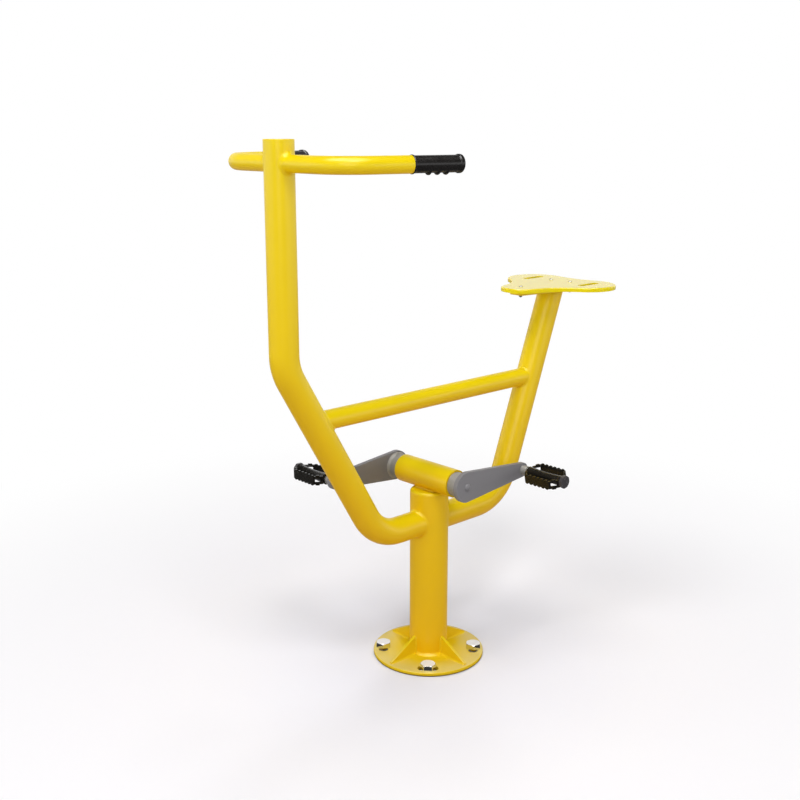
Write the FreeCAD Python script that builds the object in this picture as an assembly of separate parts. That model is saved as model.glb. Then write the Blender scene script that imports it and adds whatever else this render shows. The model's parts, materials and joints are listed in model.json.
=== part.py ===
import FreeCAD, Part
import math
import os

# An outdoor exercise bike: a bolted post carries a crank and a frame with a mast, handlebar and seat.
# Millimetres. X points forward, Y to the rider's left, Z up.
# The origin is the middle of the base flange's underside.

# Base
flange_diameter = 260.0
flange_thickness = 10.0
flange_edge_round = 2.0
flange_foot_round = 4.0
post_diameter = 88.9
post_wall = 4.0
post_cap_thickness = 10.0
post_cap_round = 8.0
post_cap_saddle_depth = 2.0
gusset_count = 4
gusset_thickness = 7.0
gusset_edge_distance = 8.0
gusset_toe_height = 3.0
gusset_height = 43.8
anchor_count = 4
anchor_edge_distance = 23.0
anchor_slot_width = 22.0
anchor_slot_length = 49.0
nut_across_flats = 32.0
nut_height = 13.0
nut_chamfer = 2.0
nut_cone_angle = 30.0
nut_bore_radius = 8.0
nut_bore_depth = 10.0

# Frame tubes
frame_tube_diameter = 60.3
frame_tube_wall = 3.2
bend_radius = 110.0
low_tube_height = 333.3
front_corner_x = 163.4
mast_x = 406.7
mast_lean = 30.3
mast_above_handlebar = 45.0
mast_cap_thickness = 5.0
mast_cap_round = 1.5
rear_corner_x = -233.3
seat_tube_lean = 20.3
brace_diameter = 42.4
brace_wall = 2.6
brace_front_height = 627.6
brace_rear_height = 623.8

# Handlebar and grips
handlebar_diameter = 33.7
handlebar_wall = 3.2
handlebar_height = 1150.5
handlebar_corner_reach = 176.6
handlebar_bend_radius = 82.5
handlebar_sweep = 14.0
handlebar_straight = 147.0
grip_length = 110.0
grip_radius = 16.4
grip_flange_radius = 18.0
grip_lip_width = 3.5
grip_collar_width = 10.0
grip_end_round = 5.0
grip_end_wall = 4.0
grip_core_radius = 13.45
grip_core_wall = 2.6
grip_core_depth = 40.0
grip_ridge_half_width = 5.0
grip_ridge_rise = 4.2
grip_ridge_places = (0.335, 0.51, 0.68)

# Seat
seat_top = 845.7
seat_thickness = 10.0
seat_edge_round = 3.0
seat_nose_x = -308.8
seat_nose_radius = 50.7
seat_lobe_x = -454.0
seat_lobe_y = 78.2
seat_lobe_radius = 71.5
seat_flare_radius = 141.7
seat_rear_x = -514.2
seat_slot_y = 86.0
seat_slot_x = -453.0
seat_slot_length = 70.0
seat_slot_width = 19.0
seat_plate_thickness = 8.0
seat_plate_nose_radius = 20.0
seat_plate_rear_radius = 24.0
seat_plate_corner_round = 10.0
seat_bolt_nose_x = -303.7
seat_bolt_rear_x = -453.8
seat_bolt_rear_y = 29.7
seat_bolt_radius = 2.5
seat_bolt_hole_clearance = 0.25
seat_bolt_head_radius = 4.75
seat_bolt_head_height = 2.75
seat_bolt_spare_thread = 1.5
seat_washer_radius = 5.0
seat_washer_thickness = 1.0
seat_nut_across_flats = 8.0
seat_nut_height = 4.7

# Crank housing, shaft and bearings
crank_above_low_tube = 107.0
housing_diameter = 63.5
housing_length = 166.0
housing_bore_radius = 23.0
bearing_bore_radius = 12.5
bearing_outer_radius = 26.0
bearing_width = 15.0
bearing_shoulder_y = 56.5
ball_count = 9
ball_radius = 3.95
ball_clearance = 0.06
ball_circle_radius = 19.5
bearing_land_half_gap = 2.4
cage_half_thickness = 0.9
cage_width = 10.0
cage_pocket_clearance = 0.2
retainer_width = 2.0
retainer_groove_depth = 1.5
retainer_inner_radius = 22.0
retainer_gap_width = 9.0
seal_width = 7.0
seal_gap = 0.5
running_clearance = 0.05
shaft_shoulder_radius = 16.0
shaft_end_radius = 11.0
shaft_end_gap = 1.0
key_width = 6.0
key_length = 16.0
key_shaft_depth = 3.5
key_hub_depth = 2.5
key_top_clearance = 0.3

# Cranks
crank_length = 188.0
crank_big_radius = 35.0
crank_small_radius = 17.0
crank_thickness = 11.0
crank_outer_face_y = 120.0
crank_edge_round = 1.0
hub_radius = 27.5
hub_nose_radius = 15.0
hub_housing_gap = 0.5
hub_weld_size = 4.5
crank_screw_radius = 5.0
crank_screw_hole_clearance = 0.5
crank_screw_depth = 26.0
crank_screw_head_radius = 8.75
crank_screw_head_height = 5.5
boss_radius = 11.5
boss_length = 15.0
boss_edge_round = 1.5

# Pedals
spindle_thread_radius = 7.1
spindle_collar_radius = 9.5
spindle_collar_width = 4.5
spindle_inner_radius = 6.5
spindle_middle_radius = 5.5
spindle_outer_radius = 5.0
spindle_tip_radius = 4.0
pedal_end_gap = 0.3
pedal_length = 98.0
pedal_barrel_end_radius = 13.0
pedal_barrel_middle_radius = 10.5
pedal_barrel_wall = 2.0
pedal_bore_radius = 7.5
bush_inner_length = 14.0
bush_inner_radius = 9.0
bush_outer_length = 10.0
bush_outer_radius = 8.0
bush_flange_width = 0.5
lock_nut_across_flats = 13.0
lock_nut_height = 5.2
nut_chamber_radius = 9.5
nut_chamber_length = 7.5
left_pedal_tilt = 12.5
pedal_half_width = 31.5
cage_bar_thickness = 4.0
cage_bar_inset = 12.0
cage_bar_length = 70.0
cage_bar_height = 24.0
tooth_count = 6
tooth_height = 2.5
tooth_flat_share = 0.4
tooth_slope_share = 0.2
end_wall_thickness = 4.0
end_window_height = 9.0
end_window_margin = 1.5
end_tooth_start_share = 0.35
end_tooth_end_share = 0.65
pedal_cap_sides = 8
pedal_cap_radius = 15.5
pedal_cap_length = 7.0
pedal_cap_chamfer = 1.5
pedal_cap_spigot_length = 1.6
pedal_cap_spigot_clearance = 0.1

Vec = FreeCAD.Vector
origin = Vec(0, 0, 0)
forward = Vec(1, 0, 0)
left = Vec(0, 1, 0)
up = Vec(0, 0, 1)
full_turn = 360.0

# Sizes worked out from the ones above
post_radius = post_diameter / 2
frame_tube_radius = frame_tube_diameter / 2
housing_radius = housing_diameter / 2
crank_height = low_tube_height + crank_above_low_tube
housing_end_y = housing_length / 2
post_cap_top = crank_height - housing_radius + post_cap_saddle_depth
post_top = post_cap_top - post_cap_thickness
flange_radius = flange_diameter / 2
anchor_radius = flange_radius - anchor_edge_distance
gusset_reach = flange_radius - gusset_edge_distance
mast_top = handlebar_height + mast_above_handlebar
mast_slope = math.tan(math.radians(mast_lean))
seat_tube_slope = math.tan(math.radians(seat_tube_lean))
mast_corner_z = low_tube_height + (mast_x - front_corner_x) / mast_slope
seat_underside = seat_top - seat_thickness
seat_plate_underside = seat_underside - seat_plate_thickness
bearing_outer_y = bearing_shoulder_y + bearing_width
seal_inner_y = bearing_outer_y + retainer_width + seal_gap
hub_inner_y = housing_end_y + hub_housing_gap
crank_inner_face_y = crank_outer_face_y - crank_thickness
shaft_end_y = crank_inner_face_y - shaft_end_gap
boss_end_y = crank_outer_face_y + boss_length
collar_end_y = boss_end_y + spindle_collar_width
pedal_start_y = collar_end_y + pedal_end_gap + bush_flange_width
pedal_end_y = pedal_start_y + pedal_length
outer_bush_end_y = pedal_end_y - nut_chamber_length
outer_bush_start_y = outer_bush_end_y - bush_outer_length
inner_bush_end_y = pedal_start_y + bush_inner_length
lock_nut_y = outer_bush_end_y + pedal_end_gap
lock_nut_end_y = lock_nut_y + lock_nut_height

crank_centre = Vec(0, 0, crank_height)
pedal_centre = Vec(-crank_length, 0, crank_height)
low_centre = Vec(0, 0, low_tube_height)


def save(name, *solids):
    shape = solids[0] if len(solids) == 1 else Part.makeCompound(list(solids))
    shape.exportStep(f"parts/{name}.step")


def rod(start, end, radius):
    along = end - start
    return Part.makeCylinder(radius, along.Length, start, along)


def slab(low, high):
    size = high - low
    return Part.makeBox(size.x, size.y, size.z, low)


def prism(points, direction):
    face = Part.Face(Part.makePolygon(points + points[:1]))
    return face.extrude(direction)


# A round rod along straight runs, with an arc of the bend radius at every inner corner.
def bent_rod(corners, bend, radius):
    pieces = []
    start = corners[0]
    for before, corner, after in zip(corners, corners[1:], corners[2:]):
        arriving = (corner - before).normalize()
        leaving = (after - corner).normalize()
        turn = arriving.getAngle(leaving)
        reach = bend * math.tan(turn / 2)
        arc_start = corner - arriving * reach
        inward = (leaving - arriving * arriving.dot(leaving)).normalize()
        disc = Part.Face(Part.Wire(Part.makeCircle(radius, arc_start, arriving)))
        pieces.append(rod(start, arc_start, radius))
        pieces.append(disc.revolve(arc_start + inward * bend, arriving.cross(leaving), math.degrees(turn)))
        start = corner + leaving * reach
    pieces.append(rod(start, corners[-1], radius))
    return pieces[0].fuse(pieces[1:]).removeSplitter()


def bent_tube(corners, bend, radius, wall):
    return bent_rod(corners, bend, radius).cut(bent_rod(corners, bend, radius - wall))


# A solid of revolution about Z from (radius, height) corners.
def turned(profile):
    points = [Vec(radius, 0, height) for radius, height in profile]
    face = Part.Face(Part.makePolygon(points + points[:1]))
    return face.revolve(origin, up, full_turn)


def ring(inner, outer, low, high):
    return turned([(inner, low), (outer, low), (outer, high), (inner, high)])


# A spherical cap that stands on the plane at the given height.
def dome(radius, rise, height):
    rim = Vec(radius, 0, height)
    ball = (radius ** 2 + rise ** 2) / (2 * rise)
    half_angle = math.asin(radius / ball) / 2
    middle = Vec(ball * math.sin(half_angle), 0, height + rise - ball * (1 - math.cos(half_angle)))
    top = Vec(0, 0, height + rise)
    foot = Vec(0, 0, height)
    arc = Part.Arc(rim, middle, top).toShape()
    outline = Part.Wire([Part.makeLine(foot, rim), arc, Part.makeLine(top, foot)])
    return Part.Face(outline).revolve(origin, up, full_turn)


def many_sided(sides, corner_radius, low, high):
    points = []
    for number in range(sides):
        angle = 2 * math.pi * (number + 0.5) / sides
        points.append(Vec(corner_radius * math.cos(angle), corner_radius * math.sin(angle), low))
    return prism(points, up * (high - low))


def hexagon(across_flats, low, high):
    return many_sided(6, across_flats / math.sqrt(3), low, high)


# A prism whose top corners are turned off by a cone, as on a nut.
def chamfered(shape, corner_radius, chamfer, low, high):
    slope = chamfer * math.tan(math.radians(nut_cone_angle))
    inside = corner_radius - chamfer
    cone = turned([(0, low), (corner_radius, low), (corner_radius, high - slope),
                   (inside, high), (0, high)])
    return shape.common(cone)


def placed(shape, point, direction):
    moved = shape.copy()
    moved.Placement = FreeCAD.Placement(point, FreeCAD.Rotation(up, direction)).multiply(shape.Placement)
    return moved


def on_crank_axis(shape):
    return placed(shape, crank_centre, left)


def on_pedal_axis(shape):
    return placed(shape, pedal_centre, left)


# The right side is the left one turned half round the post, so its crank points the other way.
def right_side(shape):
    return shape.rotated(origin, up, full_turn / 2)


def mirrored(shape):
    return shape.mirror(origin, left)


# Arc from one point to another of a circle, passing the outermost point in the given direction.
def arc_by(start, centre, direction, radius, end):
    return Part.Arc(start, centre + direction * radius, end).toShape()


def edges_at(shape, axis, value):
    box_low = "XMin YMin ZMin".split()[axis]
    box_high = "XMax YMax ZMax".split()[axis]
    tolerance = 1e-4
    return [edge for edge in shape.Edges
            if abs(getattr(edge.BoundBox, box_low) - value) < tolerance
            and abs(getattr(edge.BoundBox, box_high) - value) < tolerance]


def build_base():
    flange = Part.makeCylinder(flange_radius, flange_thickness)
    flange = flange.makeFillet(flange_edge_round, edges_at(flange, 2, flange_thickness))
    flange = flange.makeFillet(flange_foot_round, edges_at(flange, 2, 0))
    slot_turn = math.degrees((anchor_slot_length - anchor_slot_width) / anchor_radius)
    half_width = anchor_slot_width / 2
    for number in range(anchor_count):
        middle = full_turn * (number + 0.5) / anchor_count
        outer_edge = forward * (anchor_radius + half_width)
        band = Part.makePlane(anchor_slot_width, flange_thickness, outer_edge, left, -forward)
        band = band.rotated(origin, up, middle - slot_turn / 2)
        flange = flange.cut(band.revolve(origin, up, slot_turn))
        for end in (-1, 1):
            hole = Part.makeCylinder(half_width, flange_thickness, forward * anchor_radius)
            flange = flange.cut(hole.rotated(origin, up, middle + end * slot_turn / 2))
    save("base_flange", flange)

    post = ring(post_radius - post_wall, post_radius, flange_thickness, post_top)
    save("base_post", post)

    gussets = []
    corners = [(0, 0), (gusset_reach, 0), (gusset_reach, gusset_toe_height), (post_radius, gusset_height),
               (0, gusset_height)]
    outline = [Vec(x, -gusset_thickness / 2, flange_thickness + z) for x, z in corners]
    gusset = prism(outline, left * gusset_thickness).cut(rod(origin, up * post_top, post_radius))
    for number in range(gusset_count):
        gussets.append(gusset.rotated(origin, up, full_turn * number / gusset_count))
    save("base_gussets", *gussets)

    cap = Part.makeCylinder(post_radius, post_cap_thickness, up * post_top)
    cap = cap.makeFillet(post_cap_round, edges_at(cap, 2, post_cap_top))
    housing = rod(crank_centre - left * housing_end_y, crank_centre + left * housing_end_y, housing_radius)
    save("post_cap", cap.cut(housing))


def build_anchor_nuts():
    corner_radius = nut_across_flats / math.sqrt(3)
    body = hexagon(nut_across_flats, 0, nut_height)
    body = chamfered(body, corner_radius, nut_chamfer, 0, nut_height)
    body = body.cut(Part.makeCylinder(nut_bore_radius, nut_bore_depth))
    nuts = []
    for number in range(anchor_count):
        nut = body.translated(Vec(anchor_radius, 0, flange_thickness))
        nuts.append(nut.rotated(origin, up, full_turn * (number + 0.5) / anchor_count))
    save("anchor_nuts", *nuts)


def build_frame_tubes():
    mast_corners = [low_centre, Vec(front_corner_x, 0, low_tube_height), Vec(mast_x, 0, mast_corner_z),
                    Vec(mast_x, 0, mast_top - mast_cap_thickness)]
    seat_rise = seat_top - low_tube_height
    seat_corners = [low_centre, Vec(rear_corner_x, 0, low_tube_height),
                    Vec(rear_corner_x - seat_rise * seat_tube_slope, 0, seat_top)]
    post = rod(origin, up * post_top, post_radius)
    above_plate = slab(Vec(rear_corner_x - seat_rise, -frame_tube_diameter, seat_plate_underside),
                       Vec(0, frame_tube_diameter, seat_top + frame_tube_diameter))
    mast = bent_tube(mast_corners, bend_radius, frame_tube_radius, frame_tube_wall).cut(post)
    seat_tube = bent_tube(seat_corners, bend_radius, frame_tube_radius, frame_tube_wall)
    seat_tube = seat_tube.cut([post, above_plate])
    save("mast_tube", mast)
    save("seat_tube", seat_tube)

    cap_foot = Vec(mast_x, 0, mast_top - mast_cap_thickness)
    cap = Part.makeCylinder(frame_tube_radius, mast_cap_thickness, cap_foot)
    save("mast_cap", cap.makeFillet(mast_cap_round, edges_at(cap, 2, mast_top)))

    front_rise = brace_front_height - low_tube_height
    rear_rise = brace_rear_height - low_tube_height
    front_end = Vec(front_corner_x + front_rise * mast_slope, 0, brace_front_height)
    rear_end = Vec(rear_corner_x - rear_rise * seat_tube_slope, 0, brace_rear_height)
    brace_radius = brace_diameter / 2
    brace = rod(front_end, rear_end, brace_radius).cut(rod(front_end, rear_end, brace_radius - brace_wall))
    brace = brace.cut([bent_rod(mast_corners, bend_radius, frame_tube_radius),
                       bent_rod(seat_corners, bend_radius, frame_tube_radius)])
    save("brace_tube", brace)


def build_handlebar():
    radius = handlebar_diameter / 2
    sweep = math.radians(handlebar_sweep)
    outward = Vec(-math.cos(sweep), math.sin(sweep), 0)
    root = Vec(mast_x, 0, handlebar_height)
    corner = root + left * handlebar_corner_reach
    end = corner + outward * handlebar_straight
    mast = rod(Vec(mast_x, 0, 0), Vec(mast_x, 0, mast_top), frame_tube_radius)
    arm = bent_tube([root, corner, end], handlebar_bend_radius, radius, handlebar_wall).cut(mast)
    save("handlebar_left", arm)
    save("handlebar_right", mirrored(arm))

    core_end = grip_length - grip_end_wall
    core = ring(grip_core_radius - grip_core_wall, grip_core_radius, -grip_core_depth, core_end)
    core = placed(core, end, outward)
    save("grip_core_left", core)
    save("grip_core_right", mirrored(core))

    collar_start = grip_length - grip_collar_width
    sleeve = turned([(0, 0), (grip_flange_radius, 0), (grip_flange_radius, grip_lip_width),
                     (grip_radius, grip_lip_width), (grip_radius, collar_start),
                     (grip_flange_radius, collar_start), (grip_flange_radius, grip_length), (0, grip_length)])
    sleeve = sleeve.makeFillet(grip_end_round, edges_at(sleeve, 2, grip_length))
    sleeve = placed(sleeve, end, outward)
    for place in grip_ridge_places:
        centre = end + outward * (grip_length * place) - up * grip_ridge_rise
        ridge = Part.makeTorus(grip_radius - grip_ridge_half_width, grip_ridge_half_width, centre, outward)
        sleeve = sleeve.fuse(ridge)
    grip = sleeve.cut(rod(end, end + outward * core_end, grip_core_radius))
    save("grip_left", grip)
    save("grip_right", mirrored(grip))


# The seat outline: a round nose, two round lobes behind, and hollow arcs that run into them.
def seat_outline():
    nose = Vec(seat_nose_x, 0, seat_underside)
    lobe = Vec(seat_lobe_x, seat_lobe_y, seat_underside)
    spacing = lobe - nose
    nose_reach = seat_nose_radius + seat_flare_radius
    lobe_reach = seat_lobe_radius + seat_flare_radius
    along = (nose_reach ** 2 - lobe_reach ** 2 + spacing.Length ** 2) / (2 * spacing.Length)
    aside = math.sqrt(nose_reach ** 2 - along ** 2)
    run = Vec(spacing).normalize()
    flare = nose + run * along + run.cross(up) * aside
    behind = seat_lobe_x - seat_rear_x
    hollow_depth = seat_lobe_radius - behind
    hollow_radius = (behind ** 2 + seat_lobe_y ** 2 - seat_lobe_radius ** 2) / (2 * hollow_depth)
    hollow = Vec(seat_rear_x - hollow_radius, 0, seat_underside)

    to_nose = (nose - flare).normalize()
    to_lobe = (lobe - flare).normalize()
    nose_end = flare + to_nose * seat_flare_radius
    lobe_start = flare + to_lobe * seat_flare_radius
    lobe_end = hollow + (lobe - hollow).normalize() * hollow_radius
    half = [arc_by(nose_end, flare, (to_nose + to_lobe).normalize(), seat_flare_radius, lobe_start),
            arc_by(lobe_start, lobe, Vec(-1, 1, 0).normalize(), seat_lobe_radius, lobe_end)]
    other = [mirrored(edge) for edge in half]
    tip = arc_by(nose_end, nose, forward, seat_nose_radius, Vec(nose_end.x, -nose_end.y, nose_end.z))
    back = arc_by(lobe_end, hollow, forward, hollow_radius, Vec(lobe_end.x, -lobe_end.y, lobe_end.z))
    return Part.Wire(Part.__sortEdges__(half + other + [tip, back]))


def seat_bolt_places():
    return [Vec(seat_bolt_nose_x, 0, 0), Vec(seat_bolt_rear_x, seat_bolt_rear_y, 0),
            Vec(seat_bolt_rear_x, -seat_bolt_rear_y, 0)]


def build_seat():
    holes = [Part.makeCylinder(seat_bolt_radius + seat_bolt_hole_clearance, seat_top, place)
             for place in seat_bolt_places()]
    board = Part.Face(seat_outline()).extrude(up * seat_thickness)
    board = board.makeFillet(seat_edge_round, edges_at(board, 2, seat_top))
    half_run = (seat_slot_length - seat_slot_width) / 2
    half_width = seat_slot_width / 2
    for side in (-1, 1):
        front_end = Vec(seat_slot_x + half_run, side * seat_slot_y, 0)
        rear_end = Vec(seat_slot_x - half_run, side * seat_slot_y, 0)
        middle = slab(rear_end - left * half_width, front_end + left * half_width + up * seat_top)
        round_ends = [Part.makeCylinder(half_width, seat_top, end) for end in (front_end, rear_end)]
        board = board.cut([middle] + round_ends)
    save("seat_board", board.cut(holes))

    rear_half = seat_bolt_rear_y + seat_plate_rear_radius
    plate_nose_x = seat_bolt_nose_x + seat_plate_nose_radius
    plate_rear_x = seat_bolt_rear_x - seat_plate_rear_radius
    corners = [Vec(plate_nose_x, seat_plate_nose_radius, 0), Vec(plate_rear_x, rear_half, 0),
               Vec(plate_rear_x, -rear_half, 0), Vec(plate_nose_x, -seat_plate_nose_radius, 0)]
    plate = prism([corner + up * seat_plate_underside for corner in corners], up * seat_plate_thickness)
    flat = edges_at(plate, 2, seat_plate_underside) + edges_at(plate, 2, seat_underside)
    upright = [edge for edge in plate.Edges if not any(edge.isSame(other) for other in flat)]
    plate = plate.makeFillet(seat_plate_corner_round, upright)
    save("seat_plate", plate.cut(holes))

    washer_low = seat_plate_underside - seat_washer_thickness
    nut_low = washer_low - seat_nut_height
    shank = Part.makeCylinder(seat_bolt_radius, seat_top - nut_low + seat_bolt_spare_thread,
                              up * (nut_low - seat_bolt_spare_thread))
    bolt = shank.fuse(dome(seat_bolt_head_radius, seat_bolt_head_height, seat_top))
    washer_bore = seat_bolt_radius + seat_bolt_hole_clearance
    washer = ring(washer_bore, seat_washer_radius, washer_low, seat_plate_underside)
    nut = hexagon(seat_nut_across_flats, nut_low, washer_low).cut(shank)
    save("seat_bolts", *[bolt.translated(place) for place in seat_bolt_places()])
    save("seat_washers", *[washer.translated(place) for place in seat_bolt_places()])
    save("seat_nuts", *[nut.translated(place) for place in seat_bolt_places()])


def build_crank_housing():
    groove_radius = bearing_outer_radius + retainer_groove_depth
    groove_end = bearing_outer_y + retainer_width
    half = ring(housing_bore_radius, housing_radius, 0, housing_end_y)
    half = half.cut(Part.makeCylinder(bearing_outer_radius, housing_length, up * bearing_shoulder_y))
    half = half.cut(ring(housing_bore_radius, groove_radius, bearing_outer_y, groove_end))
    half = on_crank_axis(half)
    save("crank_housing", half.fuse(right_side(half)).removeSplitter())

    retainer = ring(retainer_inner_radius, groove_radius, bearing_outer_y, groove_end)
    gap = slab(Vec(0, -retainer_gap_width / 2, bearing_outer_y),
               Vec(groove_radius, retainer_gap_width / 2, groove_end))
    retainer = on_crank_axis(retainer.cut(gap))
    save("retaining_rings", retainer, right_side(retainer))

    seal_bore = hub_nose_radius + running_clearance
    seal = on_crank_axis(ring(seal_bore, bearing_outer_radius, seal_inner_y, seal_inner_y + seal_width))
    save("shaft_seals", seal, right_side(seal))


def build_bearings():
    middle_y = bearing_shoulder_y + bearing_width / 2
    groove = Part.makeTorus(ball_circle_radius, ball_radius + ball_clearance, up * middle_y)
    outer_land = ball_circle_radius + bearing_land_half_gap
    inner_land = ball_circle_radius - bearing_land_half_gap
    outer = ring(outer_land, bearing_outer_radius, bearing_shoulder_y, bearing_outer_y)
    inner = ring(bearing_bore_radius, inner_land, bearing_shoulder_y, bearing_outer_y)
    outer = on_crank_axis(outer.cut(groove))
    inner = on_crank_axis(inner.cut(groove))
    save("bearing_outer_rings", outer, right_side(outer))
    save("bearing_inner_rings", inner, right_side(inner))

    balls = []
    cage = ring(ball_circle_radius - cage_half_thickness, ball_circle_radius + cage_half_thickness,
                middle_y - cage_width / 2, middle_y + cage_width / 2)
    for number in range(ball_count):
        angle = 2 * math.pi * number / ball_count
        outward = Vec(math.cos(angle), math.sin(angle), 0)
        hub = up * middle_y
        balls.append(on_crank_axis(Part.makeSphere(ball_radius, hub + outward * ball_circle_radius)))
        cage = cage.cut(rod(hub, hub + outward * bearing_outer_radius, ball_radius + cage_pocket_clearance))
    cage = on_crank_axis(cage)
    save("bearing_balls_left", *balls)
    save("bearing_balls_right", *[right_side(ball) for ball in balls])
    save("ball_cage_left", cage)
    save("ball_cage_right", right_side(cage))


def build_shaft():
    half = turned([(0, 0), (shaft_shoulder_radius, 0), (shaft_shoulder_radius, bearing_shoulder_y),
                   (bearing_bore_radius, bearing_shoulder_y), (bearing_bore_radius, bearing_outer_y),
                   (shaft_end_radius, bearing_outer_y), (shaft_end_radius, shaft_end_y), (0, shaft_end_y)])
    tapped = Part.makeCylinder(crank_screw_radius + running_clearance, crank_screw_depth + shaft_end_gap,
                               up * (shaft_end_y - crank_screw_depth))
    key_middle_y = (hub_inner_y + crank_inner_face_y) / 2
    key_low = crank_height + shaft_end_radius - key_shaft_depth
    key_high = crank_height + shaft_end_radius + key_hub_depth
    key = slab(Vec(-key_width / 2, key_middle_y - key_length / 2, key_low),
               Vec(key_width / 2, key_middle_y + key_length / 2, key_high))
    half = on_crank_axis(half.cut(tapped)).cut(key)
    save("crank_shaft", half.fuse(right_side(half)).removeSplitter())
    save("shaft_keys", key, right_side(key))

    keyway = slab(Vec(-key_width / 2, 0, crank_height),
                  Vec(key_width / 2, crank_inner_face_y, key_high + key_top_clearance))
    hub = turned([(shaft_end_radius, bearing_outer_y), (hub_nose_radius, bearing_outer_y),
                  (hub_nose_radius, hub_inner_y), (hub_radius, hub_inner_y),
                  (hub_radius, crank_inner_face_y - hub_weld_size),
                  (hub_radius + hub_weld_size, crank_inner_face_y), (shaft_end_radius, crank_inner_face_y)])
    hub = on_crank_axis(hub).cut(keyway)
    save("crank_hub_left", hub)
    save("crank_hub_right", right_side(hub))


# The crank plate: two round ends joined by their common tangents.
def crank_outline():
    lean = math.acos((crank_big_radius - crank_small_radius) / crank_length)
    big = Vec(0, crank_inner_face_y, crank_height)
    small = big - forward * crank_length
    edge = Vec(-math.cos(lean), 0, math.sin(lean))
    edge_below = Vec(edge.x, 0, -edge.z)
    big_top = big + edge * crank_big_radius
    big_foot = big + edge_below * crank_big_radius
    small_top = small + edge * crank_small_radius
    small_foot = small + edge_below * crank_small_radius
    return Part.Wire([arc_by(big_foot, big, forward, crank_big_radius, big_top),
                      Part.makeLine(big_top, small_top),
                      arc_by(small_top, small, -forward, crank_small_radius, small_foot),
                      Part.makeLine(small_foot, big_foot)])


def build_cranks():
    arm = Part.Face(crank_outline()).extrude(left * crank_thickness)
    rims = edges_at(arm, 1, crank_inner_face_y) + edges_at(arm, 1, crank_outer_face_y)
    arm = arm.makeFillet(crank_edge_round, rims)
    screw_hole = Part.makeCylinder(crank_screw_radius + crank_screw_hole_clearance, crank_outer_face_y)
    spindle_hole = Part.makeCylinder(spindle_thread_radius + running_clearance, boss_end_y)
    arm = arm.cut([on_crank_axis(screw_hole), on_pedal_axis(spindle_hole)])
    save("crank_arm_left", arm)
    save("crank_arm_right", right_side(arm))

    screw = Part.makeCylinder(crank_screw_radius, crank_outer_face_y - shaft_end_y + crank_screw_depth,
                              up * (shaft_end_y - crank_screw_depth))
    head = dome(crank_screw_head_radius, crank_screw_head_height, crank_outer_face_y)
    screw = on_crank_axis(screw.fuse(head))
    save("crank_screws", screw, right_side(screw))

    boss = Part.makeCylinder(boss_radius, boss_length, up * crank_outer_face_y)
    boss = boss.makeFillet(boss_edge_round, edges_at(boss, 2, boss_end_y))
    boss = on_pedal_axis(boss.cut(spindle_hole))
    save("pedal_boss_left", boss)
    save("pedal_boss_right", right_side(boss))


def build_pedal_spindles():
    spindle = turned([(0, crank_inner_face_y), (spindle_thread_radius, crank_inner_face_y),
                      (spindle_thread_radius, boss_end_y), (spindle_collar_radius, boss_end_y),
                      (spindle_collar_radius, collar_end_y), (spindle_inner_radius, collar_end_y),
                      (spindle_inner_radius, inner_bush_end_y), (spindle_middle_radius, inner_bush_end_y),
                      (spindle_middle_radius, outer_bush_start_y), (spindle_outer_radius, outer_bush_start_y),
                      (spindle_outer_radius, lock_nut_y), (spindle_tip_radius, lock_nut_y),
                      (spindle_tip_radius, lock_nut_end_y), (0, lock_nut_end_y)])
    spindle = on_pedal_axis(spindle)
    save("pedal_spindle_left", spindle)
    save("pedal_spindle_right", right_side(spindle))

    nut = hexagon(lock_nut_across_flats, lock_nut_y, lock_nut_end_y)
    nut = on_pedal_axis(nut.cut(Part.makeCylinder(spindle_tip_radius, lock_nut_end_y)))
    save("pedal_lock_nut_left", nut)
    save("pedal_lock_nut_right", right_side(nut))


# The barrel is waisted: its side is an arc from one end to the other.
def pedal_barrel():
    start = Vec(pedal_barrel_end_radius, 0, pedal_start_y)
    end = Vec(pedal_barrel_end_radius, 0, pedal_end_y)
    waist = Vec(pedal_barrel_middle_radius, 0, (pedal_start_y + pedal_end_y) / 2)
    foot = up * pedal_start_y
    head = up * pedal_end_y
    side = Part.Arc(start, waist, end).toShape()
    ends = [Part.makeLine(foot, start), Part.makeLine(end, head), Part.makeLine(head, foot)]
    outline = Part.Wire([ends[0], side, ends[1], ends[2]])
    return Part.Face(outline).revolve(origin, up, full_turn)


# One toothed bar of the pedal, in the pedal's own axes: X across, Z along the spindle, Y upright.
def toothed_bar():
    pitch = cage_bar_length / tooth_count
    root = cage_bar_height / 2 - tooth_height
    bar_start = pedal_start_y + cage_bar_inset
    upper = []
    for number in range(tooth_count):
        start = bar_start + pitch * number
        peak = start + pitch * tooth_slope_share
        upper.append((start, root))
        upper.append((peak, root + tooth_height))
        upper.append((peak + pitch * tooth_flat_share, root + tooth_height))
        upper.append((peak + pitch * (tooth_flat_share + tooth_slope_share), root))
    upper.append((bar_start + cage_bar_length, root))
    lower = [(along, -height) for along, height in reversed(upper)]
    inner_x = pedal_half_width - cage_bar_thickness
    points = [Vec(inner_x, height, along) for along, height in upper + lower]
    return prism(points, forward * cage_bar_thickness)


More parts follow.
